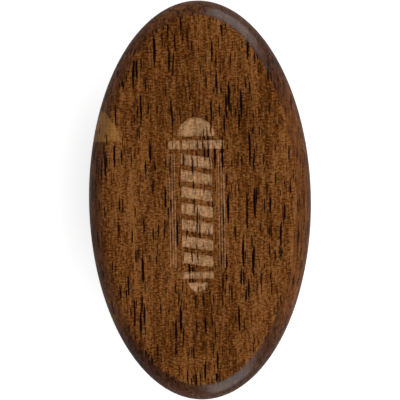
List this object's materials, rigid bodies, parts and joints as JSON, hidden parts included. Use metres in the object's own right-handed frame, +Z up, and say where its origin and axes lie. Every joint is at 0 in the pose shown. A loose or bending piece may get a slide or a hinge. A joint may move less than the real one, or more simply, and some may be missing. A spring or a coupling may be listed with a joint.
{
  "type": "beard brush",
  "caption": "Oval palm-held beard brush: a dark wooden body with a flat engraved back and round edges, set with staggered rows of boar-bristle tufts.",
  "frame": {"origin": "on the plane of the bristle tips, under the middle of the wooden body, where the brush stands", "axes": "+Z up from the bristle tips through the wooden back; +Y along the body, towards the engraved pole's large dome; +X across the body"},
  "size_m": [0.064, 0.115, 0.036],
  "materials": {
    "wood": "satin",
    "boar_bristle": "satin",
    "anchor_wire": "satin"
  },
  "bodies": {
    "root": {"wood_body": "wood", "tuft_row_01": "boar_bristle", "tuft_row_02": "boar_bristle", "tuft_row_03": "boar_bristle", "tuft_row_04": "boar_bristle", "tuft_row_05": "boar_bristle", "tuft_row_06": "boar_bristle", "tuft_row_07": "boar_bristle", "tuft_row_08": "boar_bristle", "tuft_row_09": "boar_bristle", "tuft_row_10": "boar_bristle", "tuft_row_11": "boar_bristle", "tuft_row_12": "boar_bristle", "tuft_row_13": "boar_bristle", "tuft_row_14": "boar_bristle", "tuft_row_15": "boar_bristle", "tuft_row_16": "boar_bristle", "tuft_row_17": "boar_bristle"}
  },
  "joints": []
}
